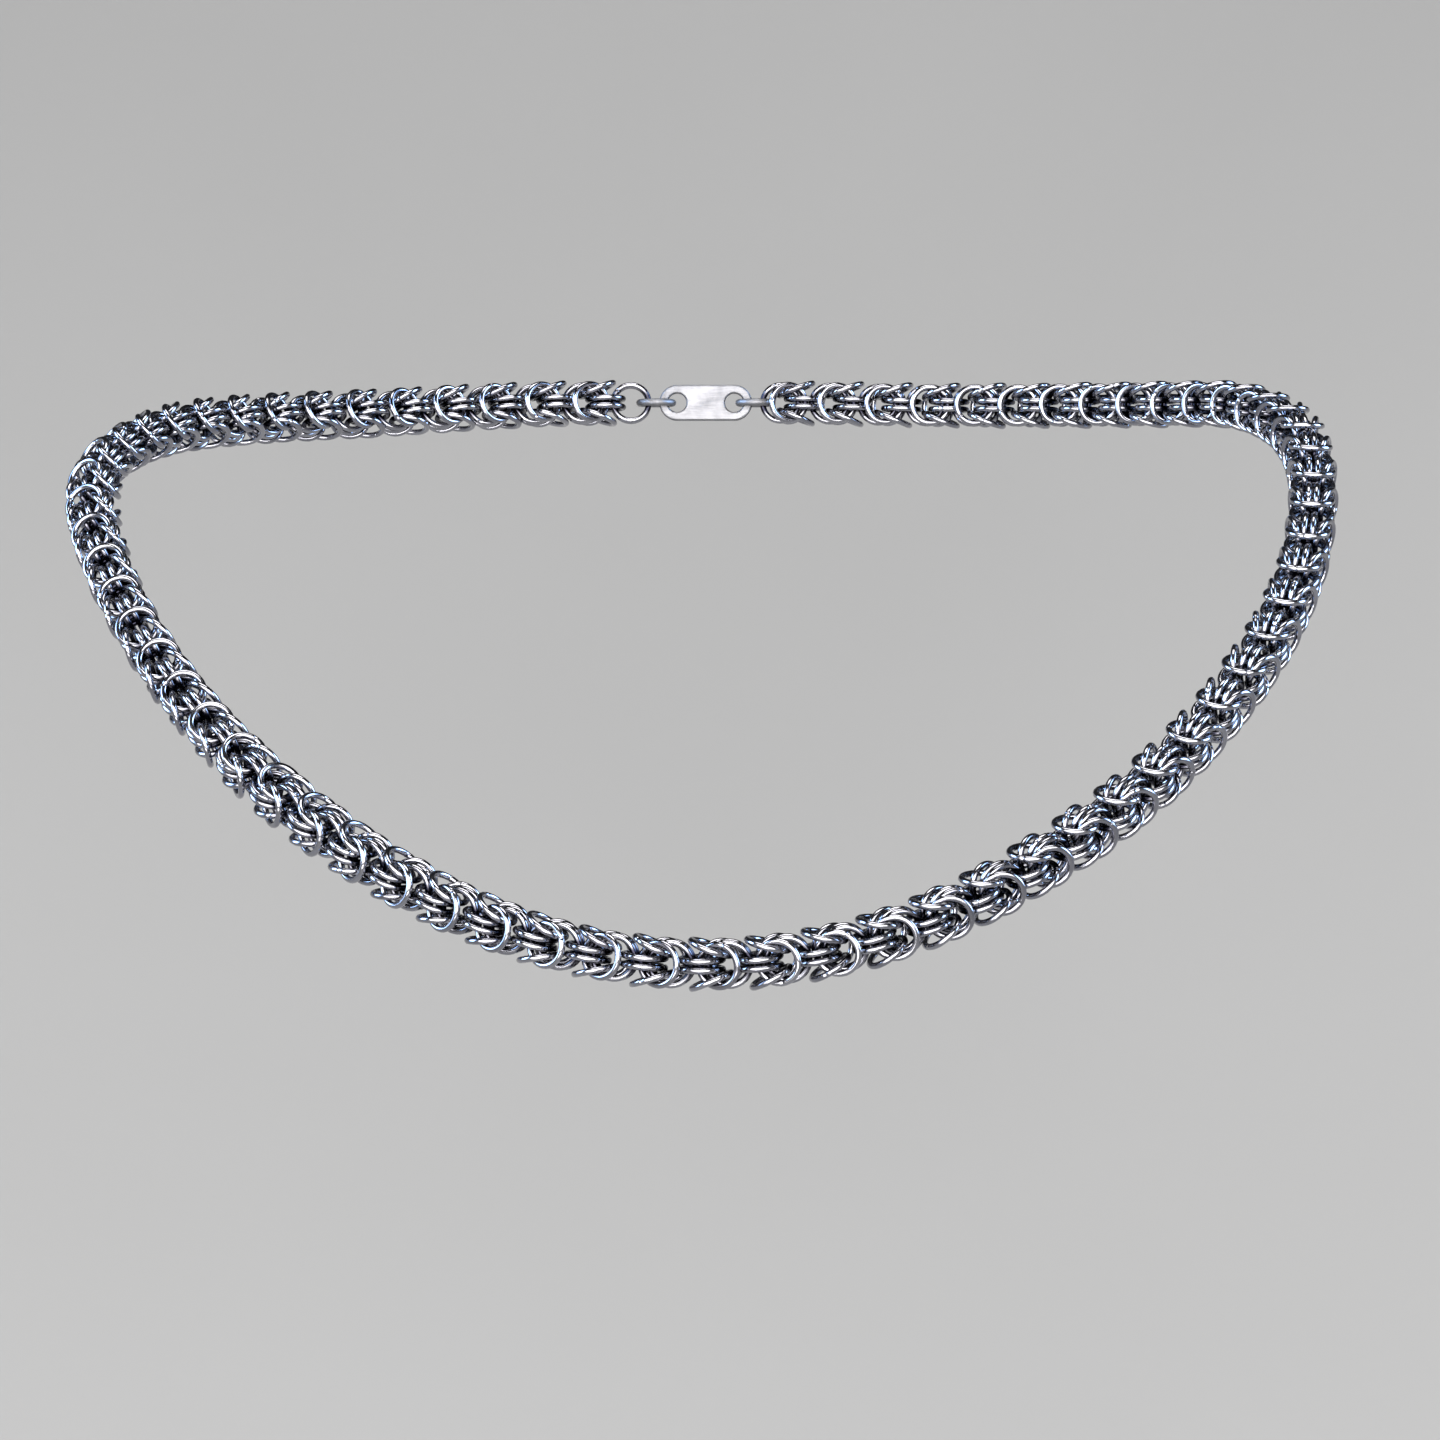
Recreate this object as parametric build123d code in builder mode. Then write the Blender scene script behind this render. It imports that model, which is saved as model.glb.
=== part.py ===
"""A worn chainmail necklace: one round chain of interlinked rings, closed at the nape by a plain clasp.

Frame: millimetres, +Z up, the wearer faces -Y and their left hand side is at +X. The origin is the
middle of the clasp, where the necklace hangs on the nape.

The weave repeats in knots of eight rings. A core of ring pairs runs through the whole chain, each
pair at right angles to the next: an upright pair, then a flat pair. Round every second joint of the
core sit two wider pairs, the face rings, which lean outwards and show as the arcs on the four faces.
"""
import os
from math import cos, pi, radians, sin, tan

from build123d import *

# Wire and rings
wire_diameter = 0.8
ring_inner_diameter = 4.2
ring_radius = (ring_inner_diameter + wire_diameter) / 2

# The weave, as shares of the ring's radius from wire centre to wire centre
knot_pitch = 2.74 * ring_radius
core_shift = 0.66 * ring_radius
face_shift = 0.20 * ring_radius
face_offset = 0.77 * ring_radius
face_lean = 21.0
core_gap = 0.3
core_offset = (wire_diameter + core_gap) / 2

# How many knots of true rings cross the chest
front_knots = 17

# The plain tube that stands for the weave further round
chain_diameter = 6.4
tube_end_gap = 0.3

# Clasp plate and its two jump rings, at the nape
clasp_length = 13.0
clasp_width = 5.0
clasp_thickness = 1.6
clasp_eye_diameter = 2.6
jump_wire_diameter = 1.0
jump_inner_diameter = 3.6
jump_clearance = 0.15
end_pair_clearance = 0.35
clasp_edge_radius = 0.3

# The way the chain takes: from the nape round the wearer's right side, over the chest, and back.
# It starts and ends beside the middle of the clasp, which closes the loop
route = [
    (-2, 0, 0),
    (-14, 0, 0),
    (-29, -2, -0.5),
    (-46, -9, -2),
    (-61.5, -20, -3.2),
    (-74.4, -37.5, -5.7),
    (-81, -60, -13.8),
    (-72.6, -82.5, -31.9),
    (-58, -101.5, -49),
    (-39.3, -114.5, -62.6),
    (-19.2, -123.8, -71.4),
    (2, -129, -73.9),
    (22.6, -128, -70.3),
    (42.1, -122, -60.7),
    (59.6, -110, -47.5),
    (74.1, -91.5, -29.1),
    (79.1, -65.8, -10.1),
    (73.8, -43, -2.6),
    (62.9, -24.7, -1.6),
    (47.5, -10.2, -1),
    (30, -1.5, -0.5),
    (14, 0, 0),
    (2, 0, 0),
]

# How far the upper face leans out from straight up, in degrees, at shares of the way round
roll_stations = [
    # (share of the way, lean in degrees)
    (0.00, 0.0),
    (0.20, 40.0),
    (0.34, 36.0),
    (0.40, 8.0),
    (0.47, 0.0),
    (0.56, 14.0),
    (0.64, 26.0),
    (0.74, 2.0),
    (1.00, 0.0),
]


def bend_radii(points):
    """One arc for each corner, as large as its two runs allow."""
    places = [Vector(*point) for point in points]
    radii = []
    for before, corner, after in zip(places, places[1:], places[2:]):
        run_in = corner - before
        run_out = after - corner
        shorter_run = min(run_in.length, run_out.length)
        half_turn = radians(run_in.get_angle(run_out)) / 2
        radii.append(0.45 * shorter_run / tan(half_turn))
    return radii


radii = bend_radii(route)
print("bend radii in mm:", [round(radius, 1) for radius in radii])
with BuildLine() as chain_line:
    FilletPolyline(*route, radius=radii)
chain_path = chain_line.wires()[0]
chain_length = chain_path.length
print("length of the way round in mm:", round(chain_length, 1))


def share_roll(share):
    """The lean of the upper face at a share of the way, read between the stations."""
    for (share_a, lean_a), (share_b, lean_b) in zip(roll_stations, roll_stations[1:]):
        if share <= share_b:
            return lean_a + (lean_b - lean_a) * (share - share_a) / (share_b - share_a)
    return roll_stations[-1][1]


def weave_frame(distance):
    """Place, direction of travel, upper face and outer face of the chain at a distance along it."""
    place = chain_path.position_at(distance, position_mode=PositionMode.LENGTH)
    travel = chain_path.tangent_at(distance, position_mode=PositionMode.LENGTH)
    straight_up = (Vector(0, 0, 1) - travel * travel.Z).normalized()
    roll = share_roll(distance / chain_length)
    upper = straight_up.rotate(Axis((0, 0, 0), travel), roll)
    return place, travel, upper, travel.cross(upper)


def pair_of_rings(distance, flat_to, offset, lean):
    """Centre planes of two rings, one each side of the chain's middle, lying flat to one face."""
    place, travel, upper, outer = weave_frame(distance)
    facing = upper if flat_to == "upper" else outer
    for side in (1, -1):
        normal = facing * cos(radians(lean)) + travel * (side * sin(radians(lean)))
        yield Plane(origin=place + facing * (side * offset), z_dir=normal)


# The four pairs of one knot, each placed from the knot's middle
knot_pairs = [
    # (shift along the chain, face the rings lie flat to, offset from the middle, lean)
    (-core_shift, "upper", core_offset, 0.0),
    (-face_shift, "upper", face_offset, face_lean),
    (face_shift, "outer", face_offset, -face_lean),
    (core_shift, "outer", core_offset, 0.0),
]

# Where the chain starts and ends: the last pair of rings hangs in the jump ring, that in the clasp's eye
jump_radius = (jump_inner_diameter + jump_wire_diameter) / 2
eye_centre = (clasp_length - clasp_width) / 2
jump_centre = eye_centre + clasp_eye_diameter / 2 - jump_wire_diameter / 2 - jump_clearance + jump_radius
end_pair_place = (
    jump_centre + jump_radius + ring_radius
    - jump_wire_diameter / 2 - wire_diameter / 2 - end_pair_clearance
)
end_pair_distance = end_pair_place + route[0][0]

# The chain starts with one flat pair by itself, so that both ends hang in the same kind of pair
end_span = chain_length - 2 * end_pair_distance
knot_count = max(front_knots + 4, round(end_span / knot_pitch))
pitch = end_span / knot_count
print("knots:", knot_count, "rings:", 8 * knot_count + 2, "pitch in mm:", round(pitch, 3))


def knot_middle(number):
    """Distance along the way to the middle of a knot, counted from 0."""
    return end_pair_distance + (number + 1) * pitch - core_shift


def knot_rings(numbers):
    """The ring planes of the knots with these numbers."""
    planes = []
    for number in numbers:
        for shift, flat_to, offset, lean in knot_pairs:
            planes.extend(pair_of_rings(knot_middle(number) + shift, flat_to, offset, lean))
    return planes


first_front_knot = (knot_count - front_knots) // 2
front_numbers = range(first_front_knot, first_front_knot + front_knots)
knot_reach = core_shift + ring_radius + wire_diameter / 2

with BuildPart() as front_chain:
    with Locations(*[plane.location for plane in knot_rings(front_numbers)]):
        Torus(ring_radius, wire_diameter / 2)
front_chain.part.label = "front_chain"

with BuildPart() as left_end_links:
    end_pair = pair_of_rings(end_pair_distance, "outer", core_offset, 0.0)
    end_planes = list(end_pair) + knot_rings([0])
    with Locations(*[plane.location for plane in end_planes]):
        Torus(ring_radius, wire_diameter / 2)
left_end_links.part.label = "left_end_links"

with BuildPart() as right_end_links:
    with Locations(*[plane.location for plane in knot_rings([knot_count - 1])]):
        Torus(ring_radius, wire_diameter / 2)
right_end_links.part.label = "right_end_links"


def chain_tube(start, end):
    """A stretch of the chain as a solid tube, between two distances along the way."""
    stretch = chain_path.trim(start / chain_length, end / chain_length)
    section = Plane(origin=stretch.position_at(0), z_dir=stretch.tangent_at(0))
    with BuildPart() as tube:
        with BuildSketch(section):
            Circle(chain_diameter / 2)
        sweep(path=stretch)
    print("tube volume over section times length:",
          round(tube.part.volume / (pi * chain_diameter ** 2 / 4 * stretch.length), 4))
    return tube


left_start = knot_middle(0) + knot_reach + tube_end_gap
left_end = knot_middle(first_front_knot) - knot_reach - tube_end_gap
left_chain = chain_tube(left_start, left_end)
left_chain.part.label = "left_chain"

right_start = knot_middle(first_front_knot + front_knots - 1) + knot_reach + tube_end_gap
right_end = knot_middle(knot_count - 1) - knot_reach - tube_end_gap
right_chain = chain_tube(right_start, right_end)
right_chain.part.label = "right_chain"


def jump_ring(side):
    """The thicker ring between the chain's last pair and the clasp, lying level."""
    with BuildPart() as ring:
        with Locations((side * jump_centre, 0, 0)):
            Torus(jump_radius, jump_wire_diameter / 2)
    return ring


left_jump_ring = jump_ring(-1)
left_jump_ring.part.label = "left_jump_ring"
right_jump_ring = jump_ring(1)
right_jump_ring.part.label = "right_jump_ring"

with BuildPart() as clasp:
    with BuildSketch(Plane.XZ):
        SlotOverall(clasp_length, clasp_width)
        with Locations((-eye_centre, 0), (eye_centre, 0)):
            Circle(clasp_eye_diameter / 2, mode=Mode.SUBTRACT)
    extrude(amount=clasp_thickness / 2, both=True)
    fillet(clasp.faces().filter_by(Axis.Y).edges(), radius=clasp_edge_radius)
clasp.part.label = "clasp"

os.makedirs("parts", exist_ok=True)
for piece in (
    front_chain,
    left_chain,
    right_chain,
    left_end_links,
    right_end_links,
    left_jump_ring,
    right_jump_ring,
    clasp,
):
    export_step(piece.part, f"parts/{piece.part.label}.step")
    print(piece.part.label, len(piece.part.solids()), "solids")
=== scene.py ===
import random
from bisect import bisect_right
from math import cos, pi, radians, sin

import bpy
import numpy as np
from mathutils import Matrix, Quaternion, Vector


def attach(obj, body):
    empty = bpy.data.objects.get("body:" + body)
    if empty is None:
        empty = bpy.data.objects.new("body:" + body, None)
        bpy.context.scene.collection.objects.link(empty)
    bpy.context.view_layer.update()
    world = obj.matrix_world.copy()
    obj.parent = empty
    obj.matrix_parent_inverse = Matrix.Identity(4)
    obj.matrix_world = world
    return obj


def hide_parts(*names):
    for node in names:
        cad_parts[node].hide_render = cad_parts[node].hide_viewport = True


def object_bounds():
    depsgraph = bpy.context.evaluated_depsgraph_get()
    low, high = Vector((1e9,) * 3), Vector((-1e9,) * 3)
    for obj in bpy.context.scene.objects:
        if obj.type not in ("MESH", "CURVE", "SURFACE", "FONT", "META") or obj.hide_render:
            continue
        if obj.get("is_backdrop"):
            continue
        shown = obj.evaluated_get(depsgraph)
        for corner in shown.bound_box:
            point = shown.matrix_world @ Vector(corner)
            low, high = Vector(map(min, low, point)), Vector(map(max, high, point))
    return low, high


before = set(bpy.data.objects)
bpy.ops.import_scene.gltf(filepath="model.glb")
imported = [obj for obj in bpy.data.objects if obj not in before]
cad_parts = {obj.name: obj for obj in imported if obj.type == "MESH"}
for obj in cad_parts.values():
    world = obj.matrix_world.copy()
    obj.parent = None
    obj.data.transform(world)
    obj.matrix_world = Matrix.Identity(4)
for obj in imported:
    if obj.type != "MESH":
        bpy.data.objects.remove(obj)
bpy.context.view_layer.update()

# The line of the chain, in metres. The necklace hangs as it is worn: from the clasp at the back it runs
# out and forward on both sides, and meets in a low curve at the front. Every ring follows this one line.
chain_route = [
    (-0.002, 0, 0),
    (-0.014, 0, 0),
    (-0.029, -0.002, -0.0005),
    (-0.046, -0.009, -0.002),
    (-0.0615, -0.02, -0.0032),
    (-0.0744, -0.0375, -0.0057),
    (-0.081, -0.06, -0.0138),
    (-0.0726, -0.0825, -0.0319),
    (-0.058, -0.1015, -0.049),
    (-0.0393, -0.1145, -0.0626),
    (-0.0192, -0.1238, -0.0714),
    (0.002, -0.129, -0.0739),
    (0.0226, -0.128, -0.0703),
    (0.0421, -0.122, -0.0607),
    (0.0596, -0.11, -0.0475),
    (0.0741, -0.0915, -0.0291),
    (0.0791, -0.0658, -0.0101),
    (0.0738, -0.043, -0.0026),
    (0.0629, -0.0247, -0.0016),
    (0.0475, -0.0102, -0.001),
    (0.03, -0.0015, -0.0005),
    (0.014, 0, 0),
    (0.002, 0, 0),
]
line_steps_per_point = 24
line_order = 3

route_curve = bpy.data.curves.new("chain_line", "CURVE")
route_curve.dimensions = "3D"
route_curve.resolution_u = line_steps_per_point
route_spline = route_curve.splines.new("NURBS")
route_spline.points.add(len(chain_route) - 1)
for control_point, place in zip(route_spline.points, chain_route):
    control_point.co = (*place, 1.0)
route_spline.order_u = line_order
route_spline.use_endpoint_u = True
route_object = bpy.data.objects.new("chain_line", route_curve)
route_mesh = bpy.data.meshes.new_from_object(route_object)
line_places = [vertex.co.copy() for vertex in route_mesh.vertices]
bpy.data.objects.remove(route_object)
bpy.data.curves.remove(route_curve)
bpy.data.meshes.remove(route_mesh)

line_distances = [0.0]
for before, after in zip(line_places, line_places[1:]):
    line_distances.append(line_distances[-1] + (after - before).length)
chain_length = line_distances[-1]


def line_at(distance):
    """Place and direction of travel at a distance along the chain's line."""
    # The step keeps one point before it and two after it, which the two directions below need
    step = min(max(bisect_right(line_distances, distance) - 1, 1), len(line_places) - 3)
    span = line_distances[step + 1] - line_distances[step]
    share = (distance - line_distances[step]) / span
    place = line_places[step].lerp(line_places[step + 1], share)
    travel_before = line_places[step + 1] - line_places[step - 1]
    travel_after = line_places[step + 2] - line_places[step]
    travel = travel_before.normalized().lerp(travel_after.normalized(), share)
    return place, travel.normalized()


# The weave across the front. Closed rings of round polished steel wire, woven by hand, eight to a knot:
# a core of ring pairs at right angles to each other, and two wider pairs that lean out over each joint.
wire_radius = 0.0004
ring_radius = 0.0025
knot_pitch = 2.74 * ring_radius
core_shift = 0.66 * ring_radius
face_shift = 0.20 * ring_radius
face_offset = 0.77 * ring_radius
face_lean = 21.0
core_offset = 0.00055
front_knots = 17
end_pair_place = 0.0105

# How far the upper face of the weave leans out from straight up, at shares of the way round
roll_stations = [
    # (share of the way, lean in degrees)
    (0.00, 0.0),
    (0.20, 40.0),
    (0.34, 36.0),
    (0.40, 8.0),
    (0.47, 0.0),
    (0.56, 14.0),
    (0.64, 26.0),
    (0.74, 2.0),
    (1.00, 0.0),
]

# The four pairs of one knot, each placed from the knot's middle
knot_pairs = [
    # (shift along the chain, face the rings lie flat to, offset from the middle, lean)
    (-core_shift, "upper", core_offset, 0.0),
    (-face_shift, "upper", face_offset, face_lean),
    (face_shift, "outer", face_offset, -face_lean),
    (core_shift, "outer", core_offset, 0.0),
]

# The knots share out what lies between the last pairs at both ends of the line
end_pair_distance = end_pair_place + chain_route[0][0]
end_span = chain_length - 2 * end_pair_distance
knot_count = round(end_span / knot_pitch)
pitch = end_span / knot_count
first_front_knot = (knot_count - front_knots) // 2
front_knots_end = first_front_knot + front_knots


def share_roll(share):
    """The lean of the upper face at a share of the way, read between the stations."""
    for (share_a, lean_a), (share_b, lean_b) in zip(roll_stations, roll_stations[1:]):
        if share <= share_b:
            return lean_a + (lean_b - lean_a) * (share - share_a) / (share_b - share_a)
    return roll_stations[-1][1]


def pair_of_rings(distance, flat_to, offset, lean):
    """Two rings, one each side of the chain's middle.

    For each come its centre, its axis, the chain's direction of travel and the chain's middle there.
    """
    place, travel = line_at(distance)
    straight_up = (Vector((0, 0, 1)) - travel * travel.z).normalized()
    upper = Quaternion(travel, radians(share_roll(distance / chain_length))) @ straight_up
    facing = upper if flat_to == "upper" else travel.cross(upper)
    for side in (1, -1):
        axis = facing * cos(radians(lean)) + travel * (side * sin(radians(lean)))
        yield place + facing * (side * offset), axis, travel, place


def knot_rings(numbers):
    """The rings of the knots with these numbers, counted along the line."""
    rings = []
    for number in numbers:
        middle = end_pair_distance + (number + 1) * pitch - core_shift
        for shift, flat_to, offset, lean in knot_pairs:
            rings.extend(pair_of_rings(middle + shift, flat_to, offset, lean))
    return rings


# One ring of bent wire, flat, before it is woven in. Its two ends butt together at angle 0, where a fine
# groove stays round the wire
ring_steps = 40
wire_sides = 12
joint_width = 0.0001
joint_depth = 0.00006
joint_half_angle = joint_width / 2 / ring_radius
step_angles = [-joint_half_angle, 0.0, joint_half_angle]
plain_steps = ring_steps - len(step_angles)
for step in range(plain_steps):
    step_angles.append(2 * pi * (step + 1) / (plain_steps + 1))

ring_outline = []
for angle in step_angles:
    wire_here = wire_radius - joint_depth if angle == 0.0 else wire_radius
    for side in range(wire_sides):
        turn = 2 * pi * side / wire_sides
        reach = ring_radius + wire_here * cos(turn)
        ring_outline.append((reach * cos(angle), reach * sin(angle), wire_here * sin(turn)))
ring_outline = np.array(ring_outline)

# The faces of the ring, and on them a map that runs from 0 to 1 along the wire and round it
ring_faces = []
ring_map = []
for step in range(ring_steps):
    next_step = (step + 1) % ring_steps
    low = step_angles[step] / (2 * pi)
    high = step_angles[next_step] / (2 * pi) if next_step else 1.0 - joint_half_angle / (2 * pi)
    for side in range(wire_sides):
        next_side = (side + 1) % wire_sides
        ring_faces.append((
            step * wire_sides + side,
            next_step * wire_sides + side,
            next_step * wire_sides + next_side,
            step * wire_sides + next_side,
        ))
        turn_low = side / wire_sides
        turn_high = (side + 1) / wire_sides
        ring_map += [(low, turn_low), (high, turn_low), (high, turn_high), (low, turn_high)]
ring_faces = np.array(ring_faces)
ring_map = np.array(ring_map)

# What a hand leaves in the weave: how far a ring is turned, in degrees, and shifted out of its place
hand_turn = 1.1
hand_shift = 0.00003
hand_seed = 31
hand_of_the_maker = random.Random(hand_seed)

# Painted shade inside the weave: the wire's colour is darkened towards the chain's middle. How far from the
# chain's middle the painted shade is full, and how far out it ends and the wire keeps its own colour
painted_shade_full_reach = 0.0015
painted_shade_end_reach = 0.0022


def put_in_scene(name, data):
    """A new object that holds this mesh, lamp or camera."""
    new_object = bpy.data.objects.new(name, data)
    bpy.context.scene.collection.objects.link(new_object)
    return new_object


def woven_ring(centre, axis, travel):
    """The surface of one ring in its place, with the small turn and shift that a hand leaves in it."""
    sideways = travel.cross(axis).normalized()
    axis = Quaternion(sideways, radians(hand_of_the_maker.uniform(-hand_turn, hand_turn))) @ axis
    axis = Quaternion(travel, radians(hand_of_the_maker.uniform(-hand_turn, hand_turn))) @ axis
    across = axis.orthogonal().normalized()
    across = Quaternion(axis, hand_of_the_maker.uniform(0, 2 * pi)) @ across
    shifted = centre + sideways * hand_of_the_maker.uniform(-hand_shift, hand_shift)
    turned = np.array([across, axis.cross(across), axis])
    return ring_outline @ turned + np.array(shifted)


def woven_piece(name, rings):
    """One mesh of closed rings. Each ring has a tone of its own, and each point its share of the painted
    shade inside the weave.
    """
    places = []
    faces = []
    tones = []
    painted_shades = []
    for number, (centre, axis, travel, middle) in enumerate(rings):
        ring_places = woven_ring(centre, axis, travel)
        from_middle = np.linalg.norm(np.cross(ring_places - np.array(middle), np.array(travel)), axis=1)
        places.append(ring_places)
        # Painted shade: full near the chain's middle, fading to none at the outer reach
        painted_shades.append(np.clip((painted_shade_end_reach - from_middle) / (painted_shade_end_reach - painted_shade_full_reach), 0.0, 1.0))
        faces.append(ring_faces + number * len(ring_outline))
        tones += [hand_of_the_maker.random()] * len(ring_outline)
    mesh = bpy.data.meshes.new(name)
    mesh.from_pydata(np.concatenate(places).tolist(), [], np.concatenate(faces).tolist())
    mesh.shade_smooth()
    wire_map = mesh.uv_layers.new(name="wire")
    wire_map.data.foreach_set("uv", np.tile(ring_map, (len(rings), 1)).ravel())
    tone = mesh.attributes.new("ring_tone", "FLOAT", "POINT")
    tone.data.foreach_set("value", tones)
    shade = mesh.attributes.new("painted_shade_share", "FLOAT", "POINT")
    shade.data.foreach_set("value", np.concatenate(painted_shades))
    return put_in_scene(name, mesh)


front_rings = woven_piece("front_rings", knot_rings(range(first_front_knot, front_knots_end)))

# Marks of drawing and tumbling, on every steel piece here: fine lines that run along the metal, and a faint
# cloud where it has been rubbed. The same group also paints shade into the colour inside the weave of the
# rings.
line_detail = 3.0
cloud_scale = 420.0
cloud_detail = 4.0
cloud_dulling = 0.55
tone_dulling = 0.45
edge_raggedness = 0.5
rub_low = 0.12
rub_high = 0.42

steel_marks_and_shade = bpy.data.node_groups.new("steel_marks_and_shade", "ShaderNodeTree")
mark_sockets = [
    # (name, direction, kind)
    ("Along", "INPUT", "NodeSocketVector"),
    ("Place", "INPUT", "NodeSocketVector"),
    ("Tone", "INPUT", "NodeSocketFloat"),
    ("Inside", "INPUT", "NodeSocketFloat"),
    ("Bright", "INPUT", "NodeSocketColor"),
    ("Dull", "INPUT", "NodeSocketColor"),
    ("Painted Shade Colour", "INPUT", "NodeSocketColor"),
    ("Smooth", "INPUT", "NodeSocketFloat"),
    ("Rubbed", "INPUT", "NodeSocketFloat"),
    ("Colour", "OUTPUT", "NodeSocketColor"),
    ("Roughness", "OUTPUT", "NodeSocketFloat"),
    ("Height", "OUTPUT", "NodeSocketFloat"),
]
for socket_name, direction, kind in mark_sockets:
    steel_marks_and_shade.interface.new_socket(socket_name, in_out=direction, socket_type=kind)
nodes = steel_marks_and_shade.nodes
links = steel_marks_and_shade.links
inputs = nodes.new("NodeGroupInput")
outputs = nodes.new("NodeGroupOutput")

lines = nodes.new("ShaderNodeTexNoise")
lines.inputs["Scale"].default_value = 1.0
lines.inputs["Detail"].default_value = line_detail
links.new(inputs.outputs["Along"], lines.inputs["Vector"])
links.new(lines.outputs["Fac"], outputs.inputs["Height"])

cloud = nodes.new("ShaderNodeTexNoise")
cloud.inputs["Scale"].default_value = cloud_scale
cloud.inputs["Detail"].default_value = cloud_detail
links.new(inputs.outputs["Place"], cloud.inputs["Vector"])

# The metal is duller where the cloud is thick, and some rings are duller than others
tone_share = nodes.new("ShaderNodeMath")
tone_share.operation = "MULTIPLY"
tone_share.inputs[1].default_value = tone_dulling
links.new(inputs.outputs["Tone"], tone_share.inputs[0])
dullness = nodes.new("ShaderNodeMath")
dullness.operation = "MULTIPLY_ADD"
dullness.inputs[1].default_value = cloud_dulling
links.new(cloud.outputs["Fac"], dullness.inputs[0])
links.new(tone_share.outputs["Value"], dullness.inputs[2])
colour = nodes.new("ShaderNodeMix")
colour.data_type = "RGBA"
links.new(dullness.outputs["Value"], colour.inputs["Factor"])
links.new(inputs.outputs["Bright"], colour.inputs["A"])
links.new(inputs.outputs["Dull"], colour.inputs["B"])

# The painted shade inside the weave ends in a ragged edge, where the cloud breaks it up
painted_shade_edge = nodes.new("ShaderNodeMath")
painted_shade_edge.operation = "MULTIPLY_ADD"
painted_shade_edge.inputs[1].default_value = edge_raggedness
painted_shade_edge.inputs[2].default_value = -edge_raggedness / 2
links.new(cloud.outputs["Fac"], painted_shade_edge.inputs[0])
painted_shade_amount = nodes.new("ShaderNodeMath")
painted_shade_amount.use_clamp = True
links.new(inputs.outputs["Inside"], painted_shade_amount.inputs[0])
links.new(painted_shade_edge.outputs["Value"], painted_shade_amount.inputs[1])
# The wire's colour is mixed towards the painted shade colour by the share of painted shade
painted_shade_mix = nodes.new("ShaderNodeMix")
painted_shade_mix.data_type = "RGBA"
links.new(painted_shade_amount.outputs["Value"], painted_shade_mix.inputs["Factor"])
links.new(colour.outputs["Result"], painted_shade_mix.inputs["A"])
links.new(inputs.outputs["Painted Shade Colour"], painted_shade_mix.inputs["B"])
links.new(painted_shade_mix.outputs["Result"], outputs.inputs["Colour"])

# Where the fine lines and the cloud meet, the metal is rubbed and reflects less sharply
rub = nodes.new("ShaderNodeMath")
rub.operation = "MULTIPLY"
links.new(cloud.outputs["Fac"], rub.inputs[0])
links.new(lines.outputs["Fac"], rub.inputs[1])
roughness = nodes.new("ShaderNodeMapRange")
roughness.inputs["From Min"].default_value = rub_low
roughness.inputs["From Max"].default_value = rub_high
links.new(rub.outputs["Value"], roughness.inputs["Value"])
links.new(inputs.outputs["Smooth"], roughness.inputs["To Min"])
links.new(inputs.outputs["Rubbed"], roughness.inputs["To Max"])
links.new(roughness.outputs["Result"], outputs.inputs["Roughness"])


def marked_steel(name, bright, dull, smooth, rubbed, line_strength, line_depth):
    """A steel that wears the marks above, and its marks node, which still needs its way along the metal."""
    material = bpy.data.materials.new(name)
    material.use_nodes = True
    nodes = material.node_tree.nodes
    links = material.node_tree.links
    steel = nodes["Principled BSDF"]
    steel.inputs["Metallic"].default_value = 1.0
    here = nodes.new("ShaderNodeTexCoord")
    marks = nodes.new("ShaderNodeGroup")
    marks.node_tree = steel_marks_and_shade
    marks.inputs["Bright"].default_value = bright
    marks.inputs["Dull"].default_value = dull
    marks.inputs["Smooth"].default_value = smooth
    marks.inputs["Rubbed"].default_value = rubbed
    links.new(here.outputs["Object"], marks.inputs["Place"])
    links.new(marks.outputs["Colour"], steel.inputs["Base Color"])
    links.new(marks.outputs["Roughness"], steel.inputs["Roughness"])
    fine_lines = nodes.new("ShaderNodeBump")
    fine_lines.inputs["Strength"].default_value = line_strength
    fine_lines.inputs["Distance"].default_value = line_depth
    links.new(marks.outputs["Height"], fine_lines.inputs["Height"])
    links.new(fine_lines.outputs["Normal"], steel.inputs["Normal"])
    return material, marks


# The steel of the rings: bright where tumbled, with lines that run along the wire of each ring
ring_steel, marks = marked_steel(
    "ring_steel",
    bright=(0.38, 0.38, 0.41, 1.0),
    dull=(0.19, 0.19, 0.22, 1.0),
    smooth=0.10,
    rubbed=0.22,
    line_strength=0.10,
    line_depth=0.00003,
)
# Painted shade: the near-black colour that the wire inside the weave is painted towards
painted_shade_colour = (0.02, 0.02, 0.03, 1.0)
ring_line_stretch = (9.0, 34.0, 1.0)
marks.inputs["Painted Shade Colour"].default_value = painted_shade_colour
nodes = ring_steel.node_tree.nodes
links = ring_steel.node_tree.links
wire_map = nodes.new("ShaderNodeUVMap")
wire_map.uv_map = "wire"
along_wire = nodes.new("ShaderNodeMapping")
along_wire.inputs["Scale"].default_value = ring_line_stretch
links.new(wire_map.outputs["UV"], along_wire.inputs["Vector"])
links.new(along_wire.outputs["Vector"], marks.inputs["Along"])
tone = nodes.new("ShaderNodeAttribute")
tone.attribute_name = "ring_tone"
links.new(tone.outputs["Fac"], marks.inputs["Tone"])
# The share of painted shade at each point of the rings
inside = nodes.new("ShaderNodeAttribute")
inside.attribute_name = "painted_shade_share"
links.new(inside.outputs["Fac"], marks.inputs["Inside"])

front_rings.data.materials.append(ring_steel)
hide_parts("front_chain")
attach(front_rings, "root")

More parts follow.
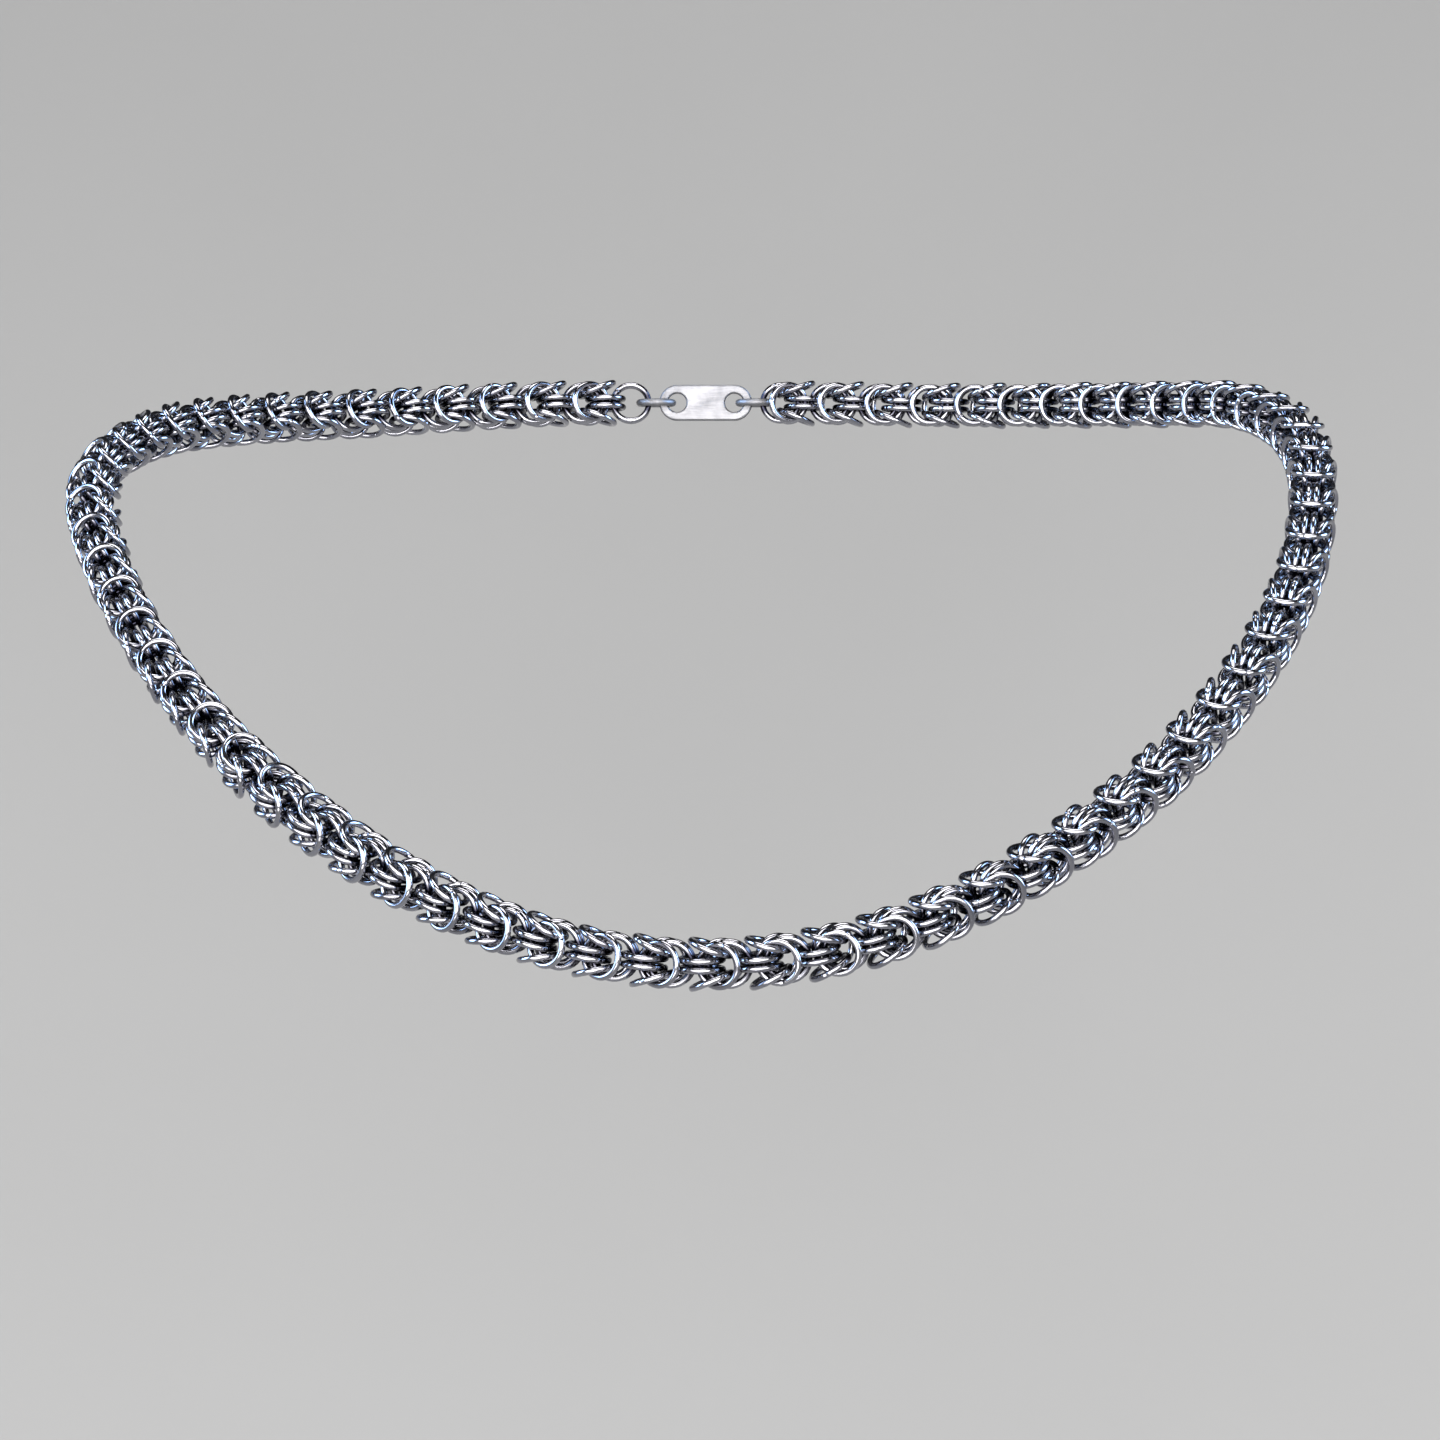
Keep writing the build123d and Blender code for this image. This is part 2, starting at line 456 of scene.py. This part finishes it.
# The weave on the left side as seen from the front, from the first knot after the last rings at the back
# down to the front. The same rings and the same steel, with the face of the weave turned outwards.
left_rings = woven_piece("left_rings", knot_rings(range(1, first_front_knot)))
left_rings.data.materials.append(ring_steel)
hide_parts("left_chain")
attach(left_rings, "root")

# The weave on the right side, from the front up and round to the last rings at the back. It turns its
# face outwards less than the left side does.
right_rings = woven_piece("right_rings", knot_rings(range(front_knots_end, knot_count - 1)))
right_rings.data.materials.append(ring_steel)
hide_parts("right_chain")
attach(right_rings, "root")

# The last rings at the left end: one knot, and one pair more than on the right, so that both ends hang
# from their jump ring by the same kind of pair.
left_end = list(pair_of_rings(end_pair_distance, "outer", core_offset, 0.0)) + knot_rings([0])
left_end_rings = woven_piece("left_end_rings", left_end)
left_end_rings.data.materials.append(ring_steel)
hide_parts("left_end_links")
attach(left_end_rings, "root")

# The last rings at the right end: one knot, whose last pair hangs in the right jump ring.
# They are of the same wire as all the others.
right_end_rings = woven_piece("right_end_rings", knot_rings([knot_count - 1]))
right_end_rings.data.materials.append(ring_steel)
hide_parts("right_end_links")
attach(right_end_rings, "root")

# The clasp and its two jump rings: a stamped steel plate with an eye at each end, and two thicker rings
# that hook it to the chain. They are brushed along their length and duller than the woven rings.
clasp_steel, marks = marked_steel(
    "clasp_steel",
    bright=(0.29, 0.29, 0.30, 1.0),
    dull=(0.13, 0.13, 0.14, 1.0),
    smooth=0.45,
    rubbed=0.65,
    line_strength=0.25,
    line_depth=0.00004,
)
clasp_tone = 0.5
clasp_line_stretch = (500.0, 6000.0, 9000.0)
marks.inputs["Tone"].default_value = clasp_tone
nodes = clasp_steel.node_tree.nodes
links = clasp_steel.node_tree.links
plate_place = nodes.new("ShaderNodeTexCoord")
along_plate = nodes.new("ShaderNodeMapping")
along_plate.inputs["Scale"].default_value = clasp_line_stretch
links.new(plate_place.outputs["Object"], along_plate.inputs["Vector"])
links.new(along_plate.outputs["Vector"], marks.inputs["Along"])
for node_name in ("clasp", "left_jump_ring", "right_jump_ring"):
    for material_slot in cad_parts[node_name].material_slots:
        material_slot.material = clasp_steel

# The floor: plain pale studio board below the hanging necklace, swept up gently all round, so that no
# edge shows from any side.
floor_height = -0.750
flat_reaches = (0.3, 0.6, 1.0)
floor_turns = 96
sweep_radius = 1.9
sweep_steps = 24
sweep_share = 0.88
board_light = (0.30, 0.30, 0.30, 1.0)
board_dark = (0.28, 0.28, 0.28, 1.0)
board_roughness = 0.85
mottle_scale = 3.0

profile = [(reach, 0.0) for reach in flat_reaches]
for step in range(1, sweep_steps + 1):
    angle = 0.5 * pi * sweep_share * step / sweep_steps
    profile.append((flat_reaches[-1] + sweep_radius * sin(angle), sweep_radius * (1 - cos(angle))))
floor_places = [(0.0, 0.0, floor_height)]
for reach, rise in profile:
    for turn in range(floor_turns):
        angle = 2 * pi * turn / floor_turns
        floor_places.append((reach * cos(angle), reach * sin(angle), floor_height + rise))
floor_faces = []
for turn in range(floor_turns):
    next_turn = (turn + 1) % floor_turns
    floor_faces.append((0, 1 + turn, 1 + next_turn))
    for ring in range(len(profile) - 1):
        inner = 1 + ring * floor_turns
        outer = inner + floor_turns
        floor_faces.append((inner + turn, outer + turn, outer + next_turn, inner + next_turn))
floor_mesh = bpy.data.meshes.new("floor")
floor_mesh.from_pydata(floor_places, [], floor_faces)
floor_mesh.shade_smooth()
floor = put_in_scene("floor", floor_mesh)

floor_board = bpy.data.materials.new("floor_board")
floor_board.use_nodes = True
nodes = floor_board.node_tree.nodes
links = floor_board.node_tree.links
board = nodes["Principled BSDF"]
board.inputs["Roughness"].default_value = board_roughness
board_place = nodes.new("ShaderNodeTexCoord")
board_mottle = nodes.new("ShaderNodeTexNoise")
board_mottle.inputs["Scale"].default_value = mottle_scale
links.new(board_place.outputs["Object"], board_mottle.inputs["Vector"])
board_colour = nodes.new("ShaderNodeMix")
board_colour.data_type = "RGBA"
board_colour.inputs["A"].default_value = board_light
board_colour.inputs["B"].default_value = board_dark
links.new(board_mottle.outputs["Fac"], board_colour.inputs["Factor"])
links.new(board_colour.outputs["Result"], board.inputs["Base Color"])
floor_mesh.materials.append(floor_board)
floor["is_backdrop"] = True

# The light: a broad soft lamp behind the camera with a thin one low under it, one overhead, a cool one from
# each side, and four that only brighten the sweep. The room stays dim, so that the steel keeps dark bands.
chain_middle = (0.0, -0.07, -0.04)
white = (1.0, 1.0, 1.0)
cool = (0.40, 0.62, 1.0)
room_colour = (0.55, 0.57, 0.60, 1.0)
room_strength = 0.06
lamp_table = [
    # (name, place, aim, width, height, watts, spread in degrees, tint)
    ("front_lamp", (-0.10, -1.10, 0.16), chain_middle, 1.90, 0.90, 27.0, 140.0, (1.0, 0.98, 0.97)),
    ("low_lamp", (-0.20, -1.00, -0.52), chain_middle, 1.20, 0.18, 0.75, 60.0, (1.0, 0.98, 0.97)),
    ("top_lamp", (-0.05, -0.30, 1.50), chain_middle, 1.10, 0.70, 4.5, 90.0, (1.0, 0.98, 0.95)),
    ("left_cool_lamp", (-0.85, -0.15, 0.25), chain_middle, 0.50, 0.70, 2.7, 60.0, cool),
    ("right_cool_lamp", (0.85, -0.15, 0.25), chain_middle, 0.50, 0.70, 2.7, 60.0, cool),
    ("rear_sweep_lamp", (0.0, 0.70, 0.90), (0.0, 2.00, 0.00), 1.60, 0.50, 56.0, 180.0, white),
    ("front_sweep_lamp", (0.0, -1.20, 1.00), (0.0, -2.40, 0.00), 1.60, 0.50, 42.0, 180.0, white),
    ("left_sweep_lamp", (-0.80, 0.10, 1.00), (-2.20, 0.10, 0.00), 1.60, 0.50, 44.0, 180.0, white),
    ("right_sweep_lamp", (0.80, 0.10, 1.00), (2.20, 0.10, 0.00), 1.60, 0.50, 44.0, 180.0, white),
]
for name, place, aim, width, height, watts, spread, tint in lamp_table:
    lamp = bpy.data.lights.new(name, "AREA")
    lamp.shape = "RECTANGLE"
    lamp.size = width
    lamp.size_y = height
    lamp.energy = watts
    lamp.spread = radians(spread)
    lamp.color = tint
    lamp_object = put_in_scene(name, lamp)
    lamp_object.location = place
    lamp_object.rotation_euler = (Vector(aim) - Vector(place)).to_track_quat("-Z", "Y").to_euler()
    lamp_object.visible_camera = False
room = bpy.data.worlds.new("room")
room.use_nodes = True
room.node_tree.nodes["Background"].inputs["Color"].default_value = room_colour
room.node_tree.nodes["Background"].inputs["Strength"].default_value = room_strength
bpy.context.scene.world = room
bpy.context.scene.view_settings.view_transform = "Standard"

# The camera: level with the middle of the necklace and straight in front of it, with a long lens.
# It looks along +Y, the way the photo was taken.
camera_place = (0.002, -0.7825, -0.0445)
camera_turn = (radians(90), 0, 0)
camera_data = bpy.data.cameras.new("camera")
camera_data.sensor_width = 36.0
camera_data.lens = 139.4
camera_data.clip_start = 0.05
camera_data.clip_end = 20.0
camera = put_in_scene("camera", camera_data)
camera.location = camera_place
camera.rotation_euler = camera_turn
bpy.context.scene.camera = camera

low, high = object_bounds()
